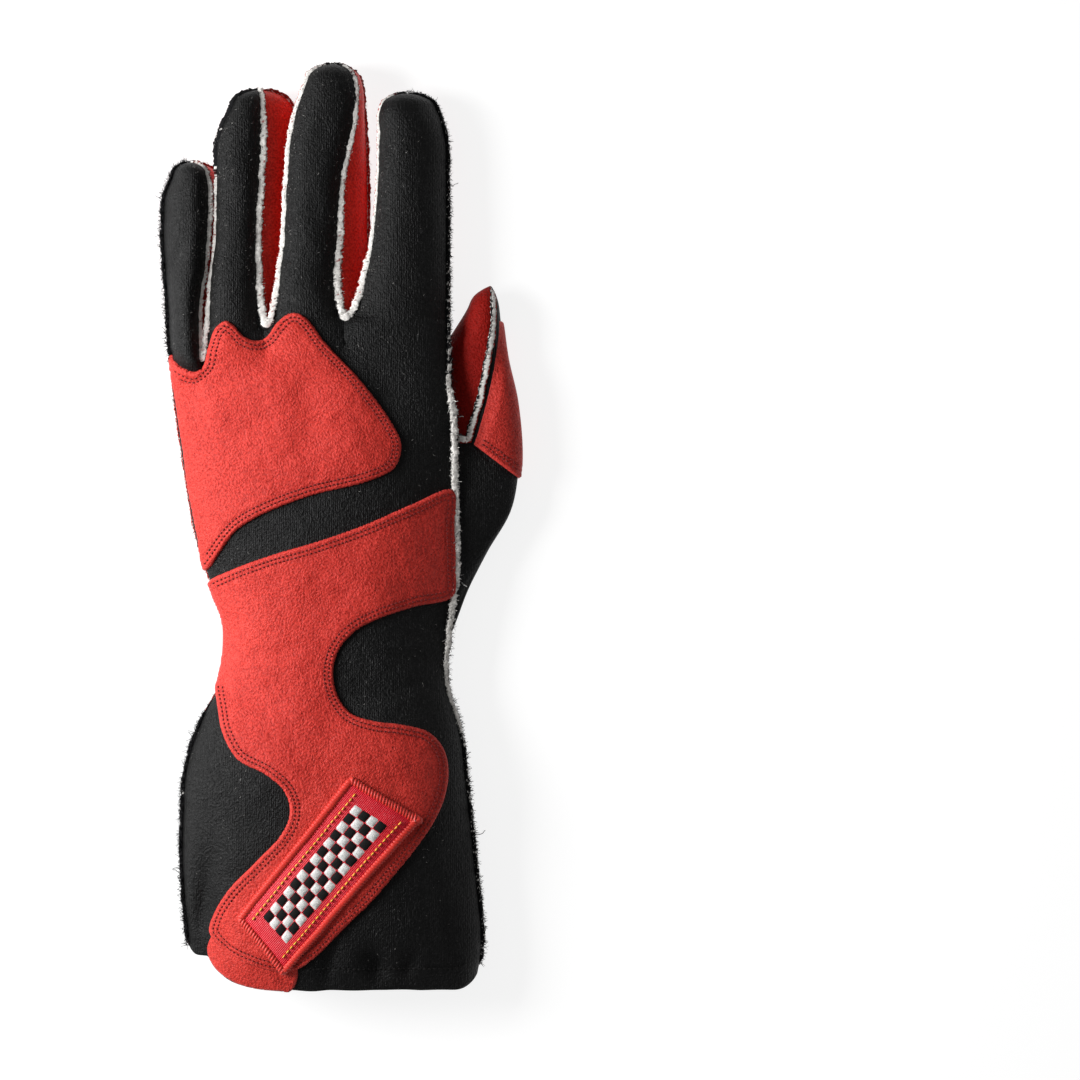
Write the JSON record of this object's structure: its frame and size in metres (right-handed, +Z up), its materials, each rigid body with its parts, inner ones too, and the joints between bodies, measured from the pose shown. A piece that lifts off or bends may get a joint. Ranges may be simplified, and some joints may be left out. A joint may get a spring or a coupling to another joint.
{
  "type": "racing glove",
  "caption": "Left-hand racing glove with a gauntlet cuff, outside seams and suede overlays, lying palm down and open at the hem.",
  "frame": {"origin": "centre of the bounding box in plan, on the surface that the glove lies on", "axes": "+X from the little finger to the thumb, +Y from the hem to the fingertips, +Z up from the palm to the back"},
  "size_m": [0.1314, 0.3343, 0.0354],
  "materials": {
    "black_knit": "matt rib knit",
    "red_suede": "brushed nap",
    "black_suede": "brushed nap",
    "raw_edge": "frayed cut edge",
    "red_satin": "shiny woven patch with a stitched border"
  },
  "bodies": {
    "root": {"back_panel": "black_knit", "cuff_back": "black_knit", "palm_panel": "red_suede", "cuff_palm": "black_knit", "thumb_back": "black_knit", "thumb_palm": "red_suede", "fourchette_little_ring": "red_suede", "fourchette_ring_middle": "red_suede", "fourchette_middle_index": "red_suede", "upper_overlay": "red_suede", "lower_overlay": "red_suede", "palm_overlay": "black_suede", "thumb_overlay": "red_suede", "patch": "red_satin", "seam_edge_ulnar": "raw_edge", "seam_edge_ring_middle": "raw_edge", "seam_edge_middle_index": "raw_edge", "seam_edge_radial": "raw_edge", "palm_seam_edge_ring": "raw_edge", "palm_seam_edge_middle": "raw_edge", "palm_seam_edge_index": "raw_edge", "thumb_seam_edge": "raw_edge", "keystone_seam_edge": "raw_edge"}
  },
  "joints": []
}
